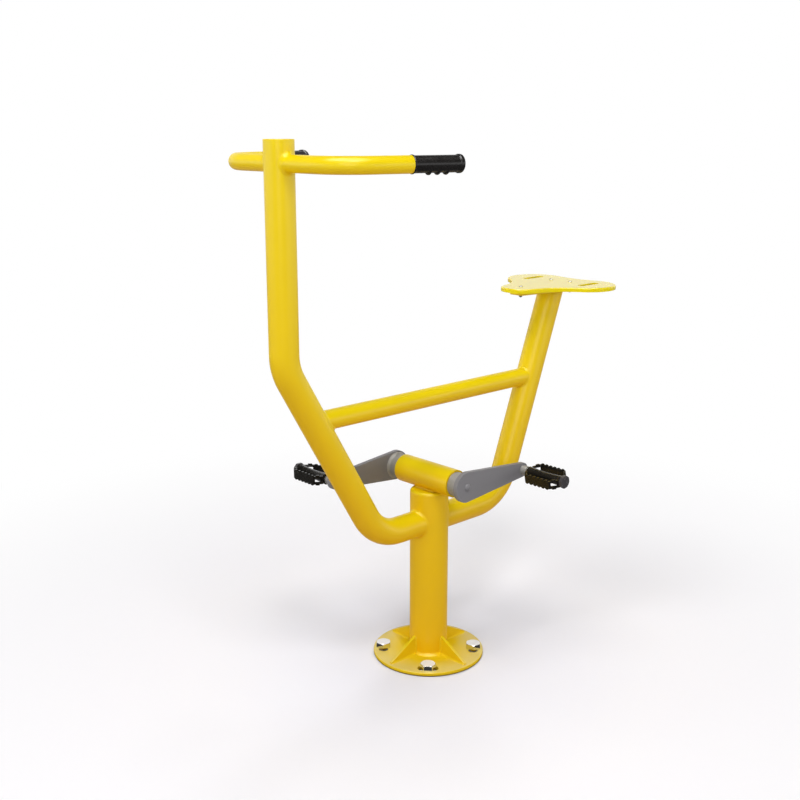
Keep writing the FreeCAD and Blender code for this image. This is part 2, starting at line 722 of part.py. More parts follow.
# A slanting wall between a bar's end and the barrel, with a window through it and a tooth at its middle.
def end_wall(bar_z, barrel_z, inward):
    root = cage_bar_height / 2 - tooth_height
    inner_x = pedal_half_width - cage_bar_thickness
    thick = up * (inward * end_wall_thickness)
    bar_end = Vec(pedal_half_width, -root, bar_z)
    barrel_end = Vec(nut_chamber_radius + pedal_barrel_wall, -root, barrel_z)
    corners = [bar_end, barrel_end, barrel_end + thick, Vec(inner_x, -root, bar_z) + thick, bar_end + thick]
    wall = prism(corners, left * (2 * root))
    along = barrel_end - bar_end
    tooth_ends = [bar_end + along * share - left * tooth_height
                  for share in (end_tooth_start_share, end_tooth_end_share)]
    tooth = prism(tooth_ends + [end + thick for end in reversed(tooth_ends)], left * cage_bar_height)
    wall = wall.fuse(tooth)
    window = slab(Vec(pedal_barrel_end_radius + end_window_margin, -end_window_height / 2, pedal_start_y),
                  Vec(inner_x, end_window_height / 2, pedal_end_y))
    return wall.cut(window)


def build_pedals():
    bar_start = pedal_start_y + cage_bar_inset
    bar_end = bar_start + cage_bar_length
    side = [toothed_bar(), end_wall(bar_start, pedal_start_y, 1), end_wall(bar_end, pedal_end_y, -1)]
    other = [shape.mirror(origin, forward) for shape in side]
    body = pedal_barrel().fuse(side + other)
    inner_seat = Part.makeCylinder(bush_inner_radius, bush_inner_length, up * pedal_start_y)
    bore = Part.makeCylinder(pedal_bore_radius, pedal_length, up * pedal_start_y)
    outer_seat = Part.makeCylinder(bush_outer_radius, bush_outer_length, up * outer_bush_start_y)
    chamber = Part.makeCylinder(nut_chamber_radius, nut_chamber_length, up * outer_bush_end_y)
    body = body.cut([inner_seat, bore, outer_seat, chamber]).removeSplitter()
    save("pedal_body_left", on_pedal_axis(body.rotated(origin, up, left_pedal_tilt)))
    save("pedal_body_right", right_side(on_pedal_axis(body)))

    inner_bore = spindle_inner_radius + running_clearance
    outer_bore = spindle_outer_radius + running_clearance
    inner_bush = ring(inner_bore, bush_inner_radius, pedal_start_y - bush_flange_width, inner_bush_end_y)
    outer_bush = ring(outer_bore, bush_outer_radius, outer_bush_start_y, outer_bush_end_y)
    bushes = [on_pedal_axis(inner_bush), on_pedal_axis(outer_bush)]
    save("pedal_bushes_left", *bushes)
    save("pedal_bushes_right", *[right_side(bush) for bush in bushes])

    cap_end_y = pedal_end_y + pedal_cap_length
    cap = many_sided(pedal_cap_sides, pedal_cap_radius, pedal_end_y, cap_end_y)
    cap = chamfered(cap, pedal_cap_radius, pedal_cap_chamfer, pedal_end_y, cap_end_y)
    cap = cap.fuse(Part.makeCylinder(nut_chamber_radius - pedal_cap_spigot_clearance, pedal_cap_spigot_length,
                                     up * (pedal_end_y - pedal_cap_spigot_length)))
    save("pedal_cap_left", on_pedal_axis(cap.rotated(origin, up, left_pedal_tilt)))
    save("pedal_cap_right", right_side(on_pedal_axis(cap)))


os.makedirs("parts", exist_ok=True)
build_base()
build_anchor_nuts()
build_frame_tubes()
build_handlebar()
build_seat()
build_crank_housing()
build_bearings()
build_shaft()
build_cranks()
build_pedal_spindles()
build_pedals()
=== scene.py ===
import json
import math
import bpy
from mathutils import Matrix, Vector


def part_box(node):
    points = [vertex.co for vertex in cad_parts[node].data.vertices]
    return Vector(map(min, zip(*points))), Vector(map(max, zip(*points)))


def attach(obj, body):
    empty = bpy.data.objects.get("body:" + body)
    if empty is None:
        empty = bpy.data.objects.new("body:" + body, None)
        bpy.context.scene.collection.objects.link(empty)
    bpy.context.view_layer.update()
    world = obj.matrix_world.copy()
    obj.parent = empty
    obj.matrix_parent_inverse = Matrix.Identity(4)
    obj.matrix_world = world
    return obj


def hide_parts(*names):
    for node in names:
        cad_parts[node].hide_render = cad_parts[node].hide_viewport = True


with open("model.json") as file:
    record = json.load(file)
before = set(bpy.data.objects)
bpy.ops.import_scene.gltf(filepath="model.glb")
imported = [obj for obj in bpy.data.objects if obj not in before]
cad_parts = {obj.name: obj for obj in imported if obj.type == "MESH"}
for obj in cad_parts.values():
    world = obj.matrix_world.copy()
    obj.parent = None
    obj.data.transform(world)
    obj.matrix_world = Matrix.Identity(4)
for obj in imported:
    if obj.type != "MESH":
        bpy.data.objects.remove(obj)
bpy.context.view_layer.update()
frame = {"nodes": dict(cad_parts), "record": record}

# An outdoor exercise bike in a white studio. Metres, X forward, Y to the rider's left, Z up.

nodes = frame["nodes"]
mm = 0.001
up = Vector((0, 0, 1))
print("frame loaded:", len(nodes), "nodes")


def hexToLinear(code):
    channels = [int(code[i:i + 2], 16) / 255 for i in (1, 3, 5)]
    linear = [c / 12.92 if c <= 0.04045 else ((c + 0.055) / 1.055) ** 2.4 for c in channels]
    return (*linear, 1.0)


# settings hold properties and socket values, links go from another node's output into a socket
def addNode(tree, kind, settings=None, links=None):
    node = tree.nodes.new("ShaderNode" + kind)
    for key, value in (settings or {}).items():
        if isinstance(key, str) and hasattr(node, key):
            setattr(node, key, value)
        else:
            node.inputs[key].default_value = value
    for key, output in (links or {}).items():
        tree.links.new(output, node.inputs[key])
    return node


def newMaterial(name, shaderSettings):
    material = bpy.data.materials.new(name)
    material.use_nodes = True
    tree = material.node_tree
    tree.nodes.clear()
    shader = addNode(tree, "BsdfPrincipled", shaderSettings)
    addNode(tree, "OutputMaterial", {}, {"Surface": shader.outputs["BSDF"]})
    place = addNode(tree, "TexCoord").outputs["Object"]
    return material, tree, shader, place


def dress(tree, shader, outputs):
    for socket, output in outputs.items():
        tree.links.new(output, shader.inputs[socket])


def perMetre(sizeMm):
    return 1 / (sizeMm * mm)


# Gloss that changes towards the outline: a fine texture hides its glints at a low angle,
# and smooth nylon gains a sheen there
glossEdge = {"blend": 0.5, "turned": (0.3, 0.9)}


def edgeGloss(tree, shader, look):
    facing = addNode(tree, "LayerWeight", {"Blend": glossEdge["blend"]})
    start, full = glossEdge["turned"]
    gloss = addNode(tree, "MapRange",
                    {"From Min": start, "From Max": full, "To Min": look["sheen"],
                     "To Max": look["edgeSheen"]},
                    {"Value": facing.outputs["Facing"]})
    dress(tree, shader, {"Specular IOR Level": gloss.outputs["Result"]})


# A painted sheen pales the flat top towards the rim, and a painted contact shade darkens the foot.
def paintedSheenAndFootShade(tree, colour, place, skyward, look):
    around = addNode(tree, "VectorMath", {"operation": "MULTIPLY", 1: (1, 1, 0)}, {0: place})
    radius = addNode(tree, "VectorMath", {"operation": "LENGTH"}, {0: around.outputs["Vector"]})
    innerMm, outerMm = look["paintedSheenMm"]
    # painted sheen: paler towards the rim where the face looks up
    towardRim = addNode(tree, "MapRange",
                      {"From Min": innerMm * mm, "From Max": outerMm * mm, "To Max": look["paintedSheenShare"]},
                      {"Value": radius.outputs["Value"]})
    sloping, flat = look["paintedSheenFacing"]
    facingUp = addNode(tree, "MapRange", {"From Min": sloping, "From Max": flat}, {"Value": skyward})
    patchy = addNode(tree, "TexNoise", {"Scale": perMetre(look["patchMm"]), "Detail": 3.0},
                     {"Vector": place})
    spread, least = look["patchSpread"]
    streaked = addNode(tree, "Math", {"operation": "MULTIPLY_ADD", 1: spread, 2: least},
                       {0: patchy.outputs["Fac"]})
    sheenPlace = addNode(tree, "Math", {"operation": "MULTIPLY"},
                    {0: towardRim.outputs["Result"], 1: facingUp.outputs["Result"]})
    share = addNode(tree, "Math", {"operation": "MULTIPLY"}, {0: sheenPlace.outputs[0], 1: streaked.outputs[0]})
    sheened = addNode(tree, "Mix", {"data_type": "RGBA", 7: hexToLinear(look["paintedSheenColour"])},
                    {0: share.outputs[0], 6: colour})
    # painted contact shade: darker in the lowest few millimetres of the foot
    height = addNode(tree, "SeparateXYZ", {}, {0: place})
    shadedMm, clearMm = look["paintedFootShadeMm"]
    footShade = addNode(tree, "MapRange",
                   {"From Min": shadedMm * mm, "From Max": clearMm * mm, "To Min": look["paintedFootShade"]},
                   {"Value": height.outputs["Z"]})
    footShaded = addNode(tree, "VectorMath", {"operation": "SCALE"},
                     {0: sheened.outputs[2], "Scale": footShade.outputs["Result"]})
    return footShaded.outputs["Vector"]


# Polyester powder coat baked on steel: a strong colour with a soft gloss and painted light and shade, paler
# lemon the more it faces up and the higher it stands and deeper orange below, faint orange peel, and
# slightly duller patches from handling.
def powderCoat(name, look):
    material, tree, shader, place = newMaterial(name, {"IOR": look["ior"], "Roughness": look["roughness"]})
    edgeGloss(tree, shader, look)
    normal = addNode(tree, "NewGeometry").outputs["Normal"]
    skyward = addNode(tree, "SeparateXYZ", {}, {0: normal}).outputs["Z"]
    height = addNode(tree, "SeparateXYZ", {}, {0: place}).outputs["Z"]
    # painted light and shade: the colour turns lemon the more a face looks up and the higher it stands,
    # orange below
    tilted = addNode(tree, "Math", {"operation": "MULTIPLY_ADD", 1: look["paintedLightByFacing"], 2: look["paintedLightStart"]},
                     {0: skyward})
    fade = addNode(tree, "Math", {"operation": "MULTIPLY_ADD", "use_clamp": True, 1: look["paintedLightPerMetre"]},
                   {0: height, 2: tilted.outputs[0]})
    tone = addNode(tree, "Mix", {"data_type": "RGBA", 6: hexToLinear(look["paintedShadedColour"]),
                                 7: hexToLinear(look["paintedLitColour"])}, {0: fade.outputs[0]})
    drift = addNode(tree, "TexNoise", {"Scale": perMetre(look["driftMm"]), "Detail": 3.0}, {"Vector": place})
    shade = addNode(tree, "MapRange", {"To Min": look["driftDark"]}, {"Value": drift.outputs["Fac"]})
    deep = addNode(tree, "VectorMath", {"operation": "SCALE"},
                   {0: tone.outputs[2], "Scale": shade.outputs["Result"]})
    colour = deep.outputs["Vector"]
    # the flange paints a sheen on its top and a contact shade at its foot
    if "paintedSheenColour" in look:
        colour = paintedSheenAndFootShade(tree, colour, place, skyward, look)
    handling = addNode(tree, "TexNoise", {"Scale": perMetre(look["handlingMm"]), "Detail": 5.0},
                       {"Vector": place})
    clean, handled = look["handlingEdge"]
    dull = addNode(tree, "MapRange",
                   {"From Min": clean, "From Max": handled,
                    "To Min": look["roughness"] - look["roughnessSpread"],
                    "To Max": look["roughness"] + look["roughnessSpread"]},
                   {"Value": handling.outputs["Fac"]})
    peel = addNode(tree, "TexNoise", {"Scale": perMetre(look["peelMm"]), "Detail": 1.0}, {"Vector": place})
    bump = addNode(tree, "Bump", {"Strength": look["peelStrength"], "Distance": look["peelDepthMm"] * mm},
                   {"Height": peel.outputs["Fac"]})
    dress(tree, shader, {"Base Color": colour, "Roughness": dull.outputs["Result"],
                         "Normal": bump.outputs["Normal"]})
    return material


# each look's two coat colours are painted light and shade; the flange look adds a painted sheen and a
# painted foot shade
yellowCoatLook = {
    "paintedLitColour": "#E9CD05", "paintedShadedColour": "#EAB205", "paintedLightByFacing": 0.7, "paintedLightPerMetre": 0.72,
    "paintedLightStart": 0.12, "ior": 1.5, "sheen": 0.36, "edgeSheen": 0.1, "roughness": 0.31,
    "roughnessSpread": 0.015, "driftDark": 0.95, "driftMm": 160, "handlingMm": 35,
    "handlingEdge": (0.35, 0.75), "peelMm": 3.0, "peelDepthMm": 0.02, "peelStrength": 0.03}
flangeCoatLook = {
    **yellowCoatLook, "paintedLitColour": "#E7CB14", "paintedShadedColour": "#E3B607", "paintedLightByFacing": 0.55,
    "paintedLightStart": 0.3, "paintedSheenColour": "#E6E4DC", "paintedSheenShare": 0.2, "paintedSheenMm": (70, 112),
    "paintedSheenFacing": (0.7, 0.98), "patchMm": 25, "patchSpread": (0.5, 0.75), "paintedFootShadeMm": (2.5, 5.0),
    "paintedFootShade": 0.3}
greyCoatLook = {
    "paintedLitColour": "#848284", "paintedShadedColour": "#807E80", "paintedLightByFacing": 0.45, "paintedLightPerMetre": 0.5,
    "paintedLightStart": 0.2, "ior": 1.45, "sheen": 0.3, "edgeSheen": 0.15, "roughness": 0.38,
    "roughnessSpread": 0.03, "driftDark": 0.92, "driftMm": 90, "handlingMm": 20,
    "handlingEdge": (0.35, 0.75), "peelMm": 2.5, "peelDepthMm": 0.02, "peelStrength": 0.15}
yellowCoat = powderCoat("powder_coated_steel_yellow", yellowCoatLook)
flangeCoat = powderCoat("powder_coated_steel_yellow_painted_sheen", flangeCoatLook)
greyCoat = powderCoat("powder_coated_steel_grey", greyCoatLook)


# High-density polyethylene sheet, rolled smooth: bright through-colour, a glossy skin that mirrors
# the studio at a low angle, hair scratches from clothes, and light that sinks in and glows at its edges.
sheetLook = {
    "colour": "#E9D60B", "deepColour": "#E6D008", "cloudMm": 70, "ior": 1.55, "roughness": 0.15,
    "scratchedRoughness": 0.19, "glow": 0.25, "glowDepthMm": 4.0, "glowReach": (1.0, 0.75, 0.1),
    "scratchMm": 2.0, "scratchRunMm": 60, "scratchEdge": (0.45, 0.7), "grainMm": 4.0, "grainDepthMm": 0.008,
    "grainStrength": 0.05}


def rolledSheet(look):
    material, tree, shader, place = newMaterial("rolled_polyethylene_sheet_yellow", {
        "IOR": look["ior"], "Roughness": look["roughness"], "Subsurface Weight": look["glow"],
        "Subsurface Scale": look["glowDepthMm"] * mm, "Subsurface Radius": look["glowReach"]})
    cloud = addNode(tree, "TexNoise", {"Scale": perMetre(look["cloudMm"]), "Detail": 2.0}, {"Vector": place})
    tone = addNode(tree, "Mix", {"data_type": "RGBA", 6: hexToLinear(look["colour"]),
                                 7: hexToLinear(look["deepColour"])}, {0: cloud.outputs["Fac"]})
    # hair scratches run fore and aft, drawn coarser than real so that they show
    run = perMetre(look["scratchRunMm"])
    stretch = addNode(tree, "Mapping", {"Scale": (run, perMetre(look["scratchMm"]), run)}, {"Vector": place})
    scratch = addNode(tree, "TexNoise", {"Scale": 1.0, "Detail": 4.0}, {"Vector": stretch.outputs["Vector"]})
    smooth, scored = look["scratchEdge"]
    worn = addNode(tree, "MapRange",
                   {"From Min": smooth, "From Max": scored, "To Min": look["roughness"],
                    "To Max": look["scratchedRoughness"]},
                   {"Value": scratch.outputs["Fac"]})
    grain = addNode(tree, "TexNoise", {"Scale": perMetre(look["grainMm"]), "Detail": 2.0}, {"Vector": place})
    bump = addNode(tree, "Bump", {"Strength": look["grainStrength"], "Distance": look["grainDepthMm"] * mm},
                   {"Height": grain.outputs["Fac"]})
    dress(tree, shader, {"Base Color": tone.outputs[2], "Roughness": worn.outputs["Result"],
                         "Normal": bump.outputs["Normal"]})
    return material


yellowSheet = rolledSheet(sheetLook)


# Metals: the colour is the reflection, tinted, and the tool or the mould leaves the roughness.
metalMarks = {"edge": (0.3, 0.7), "strength": 0.3}


def metal(name, look):
    material, tree, shader, place = newMaterial(name, {
        "Metallic": look["metallic"], "Roughness": look["roughness"],
        "Base Color": hexToLinear(look["colour"])})
    stretch = addNode(tree, "Mapping", {"Scale": [perMetre(size) for size in look["markMm"]]},
                      {"Vector": place})
    marks = addNode(tree, "TexNoise", {"Scale": 1.0, "Detail": 4.0}, {"Vector": stretch.outputs["Vector"]})
    plain, marked = metalMarks["edge"]
    spread = addNode(tree, "MapRange",
                     {"From Min": plain, "From Max": marked, "To Min": look["roughness"],
                      "To Max": look["markRoughness"]},
                     {"Value": marks.outputs["Fac"]})
    tone = addNode(tree, "Mix", {"data_type": "RGBA", 6: hexToLinear(look["colour"]),
                                 7: hexToLinear(look["markColour"])}, {0: marks.outputs["Fac"]})
    bump = addNode(tree, "Bump", {"Strength": metalMarks["strength"], "Distance": look["markDepthMm"] * mm},
                   {"Height": marks.outputs["Fac"]})
    dress(tree, shader, {"Base Color": tone.outputs[2], "Roughness": spread.outputs["Result"],
                         "Normal": bump.outputs["Normal"]})
    return material


# Chrome plate on hard steel balls: a clear mirror with a trace of haze.
chromeLook = {
    "colour": "#DADADC", "markColour": "#CBCBCE", "metallic": 1.0, "roughness": 0.06, "markRoughness": 0.14,
    "markMm": (6, 6, 6), "markDepthMm": 0.01}
# Zinc-plated seat bolts: pale and satin.
zincLook = {
    "colour": "#BDB9AC", "markColour": "#ADA99C", "metallic": 0.7, "roughness": 0.42, "markRoughness": 0.52,
    "markMm": (2, 2, 2), "markDepthMm": 0.01}
# Turned steel: rings of tool marks across the axle, so highlights spread along it.
turnedLook = {
    "colour": "#B4B3B1", "markColour": "#8F8E8C", "metallic": 1.0, "roughness": 0.28, "markRoughness": 0.42,
    "markMm": (12, 0.8, 12), "markDepthMm": 0.02}
# Cast and tumbled hub metal under a thin lacquer: pale, grainy and nearly matt.
castLook = {
    "colour": "#A3A19C", "markColour": "#918F8A", "metallic": 0.35, "roughness": 0.42, "markRoughness": 0.55,
    "markMm": (3, 3, 3), "markDepthMm": 0.06}
# Sintered bronze bush: warm, porous and dull.
bronzeLook = {
    "colour": "#B08D4A", "markColour": "#8A6A32", "metallic": 1.0, "roughness": 0.4, "markRoughness": 0.6,
    "markMm": (1.2, 1.2, 1.2), "markDepthMm": 0.02}
chromePlate = metal("chrome_plated_steel", chromeLook)
zincPlate = metal("zinc_plated_steel", zincLook)
turnedSteel = metal("turned_steel", turnedLook)
castHub = metal("cast_tumbled_alloy", castLook)
sinteredBronze = metal("sintered_bronze", bronzeLook)


# Chrome plate on the anchor nuts: mirror sides, and top faces sanded before plating that stay pale.
nutLook = {
    "colour": "#DADADC", "topColour": "#F2F2F4", "roughness": 0.08, "topRoughness": 0.5, "topMetallic": 0.25,
    "topFacing": (0.9, 0.98), "sandMm": 1.5, "sandDepthMm": 0.02, "sandStrength": 0.2}


def sandedChrome(look):
    material, tree, shader, place = newMaterial("chrome_plated_steel_sanded_top",
                                                {"Roughness": look["roughness"]})
    normal = addNode(tree, "NewGeometry").outputs["Normal"]
    skyward = addNode(tree, "SeparateXYZ", {}, {0: normal}).outputs["Z"]
    corner, flat = look["topFacing"]
    top = addNode(tree, "MapRange", {"From Min": corner, "From Max": flat},
                  {"Value": skyward}).outputs["Result"]
    sand = addNode(tree, "TexNoise", {"Scale": perMetre(look["sandMm"]), "Detail": 3.0}, {"Vector": place})
    tone = addNode(tree, "Mix", {"data_type": "RGBA", 6: hexToLinear(look["colour"]),
                                 7: hexToLinear(look["topColour"])}, {0: top})
    rough = addNode(tree, "MapRange", {"To Min": look["roughness"], "To Max": look["topRoughness"]},
                    {"Value": top})
    shine = addNode(tree, "MapRange", {"To Min": 1.0, "To Max": look["topMetallic"]}, {"Value": top})
    bump = addNode(tree, "Bump", {"Strength": look["sandStrength"], "Distance": look["sandDepthMm"] * mm},
                   {"Height": sand.outputs["Fac"]})
    dress(tree, shader, {"Base Color": tone.outputs[2], "Roughness": rough.outputs["Result"],
                         "Metallic": shine.outputs["Result"], "Normal": bump.outputs["Normal"]})
    return material


nutChrome = sandedChrome(nutLook)


# Dark polymers: colour barely changes, so the moulded texture and rubbed places carry the look.
def darkPolymer(name, look):
    material, tree, shader, place = newMaterial(name, {"IOR": look["ior"]})
    edgeGloss(tree, shader, look)
    rubbed = addNode(tree, "TexNoise", {"Scale": perMetre(look["rubbedMm"]), "Detail": 4.0},
                     {"Vector": place})
    tone = addNode(tree, "Mix", {"data_type": "RGBA", 6: hexToLinear(look["colour"]),
                                 7: hexToLinear(look["rubbedColour"])}, {0: rubbed.outputs["Fac"]})
    fresh, worn = look["rubbedEdge"]
    spread = addNode(tree, "MapRange",
                     {"From Min": fresh, "From Max": worn, "To Min": look["roughness"],
                      "To Max": look["rubbedRoughness"]},
                     {"Value": rubbed.outputs["Fac"]})
    grain = addNode(tree, "TexVoronoi", {"Scale": perMetre(look["grainMm"])}, {"Vector": place})
    bump = addNode(tree, "Bump", {"Strength": look["grainStrength"], "Distance": look["grainDepthMm"] * mm},
                   {"Height": grain.outputs["Distance"]})
    dress(tree, shader, {"Base Color": tone.outputs[2], "Roughness": spread.outputs["Result"],
                         "Normal": bump.outputs["Normal"]})
    return material


# Injection-moulded glass-filled nylon: sharp edges, a sheen on the barrel, fine spark-eroded grain.
nylonLook = {
    "colour": "#161511", "rubbedColour": "#22201D", "ior": 1.56, "sheen": 0.15, "edgeSheen": 1.0,
    "roughness": 0.2, "rubbedRoughness": 0.32, "rubbedMm": 14, "rubbedEdge": (0.35, 0.7), "grainMm": 0.9,
    "grainDepthMm": 0.05, "grainStrength": 0.15}
# The pedal's end cap is moulded from a greyer nylon.
capLook = {**nylonLook, "colour": "#3E3B3D", "rubbedColour": "#4A4749"}
# Moulded rubber: deep black, soft broad highlight, slightly chalky where hands rub it.
rubberLook = {
    "colour": "#191716", "rubbedColour": "#201E1D", "ior": 1.52, "sheen": 0.5, "edgeSheen": 0.0,
    "roughness": 0.2, "rubbedRoughness": 0.26, "rubbedMm": 18, "rubbedEdge": (0.35, 0.7), "grainMm": 1.2,
    "grainDepthMm": 0.05, "grainStrength": 0.015}
blackNylon = darkPolymer("moulded_nylon_black", nylonLook)
greyNylon = darkPolymer("moulded_nylon_grey", capLook)
blackRubber = darkPolymer("moulded_rubber_black", rubberLook)
print("materials made:", len(bpy.data.materials))


# Each node takes the material of its slot, or one of its own where the finish differs.
slotMaterials = {
    "powder_yellow": yellowCoat, "seat_yellow": yellowSheet, "crank_grey": greyCoat, "hub_grey": castHub,
    "polished_chrome": chromePlate, "machined_steel": turnedSteel, "black_plastic": blackNylon,
    "black_rubber": blackRubber, "bush_bronze": sinteredBronze}
ownMaterials = {
    "base_flange": flangeCoat, "base_gussets": flangeCoat, "anchor_nuts": nutChrome, "seat_bolts": zincPlate,
    "pedal_cap_left": greyNylon, "pedal_cap_right": greyNylon}
for subpart in frame["record"]["subparts"]:
    nodeName = subpart["node"]
    slots = nodes[nodeName].data.materials
    slots.clear()
    slots.append(ownMaterials.get(nodeName, slotMaterials[subpart["material_slot"]]))


# Moulded, forged and cut corners are never knife sharp: a small round catches the light along each edge.
softEdges = {
    "pedal_body_left": 0.5, "pedal_body_right": 0.5, "pedal_cap_left": 0.6, "pedal_cap_right": 0.6,
    "anchor_nuts": 0.7, "base_gussets": 0.6, "seat_nuts": 0.3, "seat_plate": 0.6}
softEdgeSettings = {"mergeMm": 0.01, "segments": 2, "sharpest": 35}
for nodeName, widthMm in softEdges.items():
    weld = nodes[nodeName].modifiers.new("joinSeams", "WELD")
    weld.merge_threshold = softEdgeSettings["mergeMm"] * mm
    bevel = nodes[nodeName].modifiers.new("softEdge", "BEVEL")
    bevel.width = widthMm * mm
    bevel.segments = softEdgeSettings["segments"]
    bevel.limit_method = "ANGLE"
    bevel.angle_limit = math.radians(softEdgeSettings["sharpest"])
    bevel.harden_normals = True
print("edges softened:", len(softEdges))


def newPiece(name, verts, faces, material, body):
    mesh = bpy.data.meshes.new(name)
    mesh.from_pydata(verts, [], faces)
    mesh.polygons.foreach_set("use_smooth", [True] * len(mesh.polygons))
    mesh.materials.append(material)
    mesh.update()
    piece = bpy.data.objects.new(name, mesh)
    bpy.context.scene.collection.objects.link(piece)
    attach(piece, body)
    return piece


# A surface that a weld runs along: a round tube has a radius, a flat plate has none.
def tube(point, direction, radius):
    return {"point": Vector(point), "direction": Vector(direction).normalized(), "radius": radius}


def plate(point, normal):
    return {"point": Vector(point), "direction": Vector(normal).normalized(), "radius": None}


def outwardAt(surface, spot):
    if surface["radius"] is None:
        return surface["direction"]
    offset = spot - surface["point"]
    return (offset - surface["direction"] * offset.dot(surface["direction"])).normalized()


def onSurface(surface, spot, lift):
    offset = spot - surface["point"]
    along = surface["direction"] * offset.dot(surface["direction"])
    if surface["radius"] is None:
        return spot - along + surface["direction"] * lift
    return surface["point"] + along + (offset - along).normalized() * (surface["radius"] + lift)


# The closed line where a branch tube leaves a main tube or a plate
def branchLine(branch, main, steps):
    heading, mainAxis = branch["direction"], main["direction"]
    sideways = heading.orthogonal().normalized()
    across = heading.cross(sideways)
    line = []
    for step in range(steps):
        turn = 2 * math.pi * step / steps
        start = branch["point"] + (sideways * math.cos(turn) + across * math.sin(turn)) * branch["radius"]
        offset = start - main["point"]
        if main["radius"] is None:
            travel = -offset.dot(mainAxis) / heading.dot(mainAxis)
        else:
            run = heading - mainAxis * heading.dot(mainAxis)
            gap = offset - mainAxis * offset.dot(mainAxis)
            a, b, c = run.dot(run), run.dot(gap), gap.dot(gap) - main["radius"] ** 2
            travel = (-b + math.sqrt(b * b - a * c)) / a
        line.append(start + heading * travel)
    return line


def straightLine(start, end, steps):
    return [Vector(start).lerp(Vector(end), step / (steps - 1)) for step in range(steps)]


# points along and across the beads, and how an open bead runs out at both ends
weldSteps = {"seam": 240, "gussetFoot": 70, "gussetUpright": 40, "saddle": 60, "section": 7}
runOut = {"endShare": 0.35, "growth": 0.22}


# A bead between two surfaces: each section is a curve from one toe to the other, closed by a buried root.
def addBead(verts, faces, line, first, second, bead, closed):
    base = len(verts)
    count = len(line)
    travelled = 0.0
    for index, spot in enumerate(line):
        travelled += (spot - line[index - 1]).length if index else 0.0
        ripple = 1 + bead["ripple"] * math.sin(2 * math.pi * travelled / bead["rippleM"])
        if not closed:
            fromEnd = min(index, count - 1 - index)
            ripple *= min(1.0, runOut["endShare"] + fromEnd * runOut["growth"])
        firstOut = outwardAt(first, spot)
        secondOut = outwardAt(second, spot)
        alongFirst = (secondOut - firstOut * secondOut.dot(firstOut)).normalized()
        alongSecond = (firstOut - secondOut * firstOut.dot(secondOut)).normalized()
        leg = bead["leg"] * ripple
        toeA = onSurface(first, spot + alongFirst * leg, -bead["sink"])
        toeB = onSurface(second, spot + alongSecond * leg, -bead["sink"])
        pull = spot + (alongFirst + alongSecond) * leg * bead["fullness"]
        for step in range(weldSteps["section"]):
            t = step / (weldSteps["section"] - 1)
            verts.append(toeA * (1 - t) ** 2 + pull * 2 * t * (1 - t) + toeB * t ** 2)
        verts.append(spot - (firstOut + secondOut) * bead["sink"])
    ring = weldSteps["section"] + 1
    for index in range(count if closed else count - 1):
        here = base + index * ring
        there = base + (index + 1) % count * ring
        for step in range(ring):
            after = (step + 1) % ring
            faces.append((here + step, here + after, there + after, there + step))
    if not closed:
        faces.append([base + step for step in range(ring)])
        faces.append([base + (count - 1) * ring + step for step in reversed(range(ring))])


# The frame's tubes and plates: what a node's box can't give is written here, the rest is read from it.
frameSizes = {
    "frontCorner": 163.4 * mm, "mastLean": 30.3, "rearCorner": -233.3 * mm, "seatLean": 20.3,
    "braceFront": 627.6 * mm, "braceRear": 623.8 * mm, "barHeight": 1150.5 * mm}
mastCapLow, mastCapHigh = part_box("mast_cap")
mastX = (mastCapLow.x + mastCapHigh.x) / 2
tubeRadius = mastCapHigh.y
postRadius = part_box("post_cap")[1].x
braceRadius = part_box("brace_tube")[1].y
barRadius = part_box("handlebar_left")[1].x - mastX
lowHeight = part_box("mast_tube")[0].z + tubeRadius
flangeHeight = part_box("base_flange")[1].z

frontLean = math.radians(frameSizes["mastLean"])
rearLean = math.radians(frameSizes["seatLean"])
lowCentre = Vector((0, 0, lowHeight))
frontCorner = Vector((frameSizes["frontCorner"], 0, lowHeight))
rearCorner = Vector((frameSizes["rearCorner"], 0, lowHeight))
frontRise = frameSizes["braceFront"] - lowHeight
rearRise = frameSizes["braceRear"] - lowHeight
braceFrontEnd = frontCorner + Vector((frontRise * math.tan(frontLean), 0, frontRise))
braceRearEnd = rearCorner + Vector((-rearRise * math.tan(rearLean), 0, rearRise))
barRoot = Vector((mastX, 0, frameSizes["barHeight"]))

post = tube((0, 0, 0), up, postRadius)
lowFront = tube(lowCentre, (1, 0, 0), tubeRadius)
lowRear = tube(lowCentre, (-1, 0, 0), tubeRadius)
frontRun = tube(frontCorner, (math.sin(frontLean), 0, math.cos(frontLean)), tubeRadius)
rearRun = tube(rearCorner, (-math.sin(rearLean), 0, math.cos(rearLean)), tubeRadius)
mast = tube((mastX, 0, 0), up, tubeRadius)
braceToRear = tube(braceFrontEnd, braceRearEnd - braceFrontEnd, braceRadius)
braceToFront = tube(braceRearEnd, braceFrontEnd - braceRearEnd, braceRadius)
barLeft = tube(barRoot, (0, 1, 0), barRadius)
barRight = tube(barRoot, (0, -1, 0), barRadius)
flangeTop = plate((0, 0, flangeHeight), up)
seatPlateUnder = plate((0, 0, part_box("seat_plate")[0].z), -up)

# welds are ground and coated, so their ripples are faint
tubeBead = {"leg": 5 * mm, "fullness": 0.28, "sink": 0.5 * mm, "ripple": 0.05, "rippleM": 4.5 * mm}
barBead = {"leg": 8 * mm, "fullness": 0.12, "sink": 0.5 * mm, "ripple": 0.02, "rippleM": 5 * mm}
footBead = {"leg": 7 * mm, "fullness": 0.26, "sink": 0.5 * mm, "ripple": 0.04, "rippleM": 5 * mm}
gussetBead = {"leg": 4 * mm, "fullness": 0.3, "sink": 0.4 * mm, "ripple": 0.06, "rippleM": 4.5 * mm}
saddleBead = {"leg": 8 * mm, "fullness": 0.5, "sink": 0.3 * mm, "ripple": 0.05, "rippleM": 4.5 * mm}

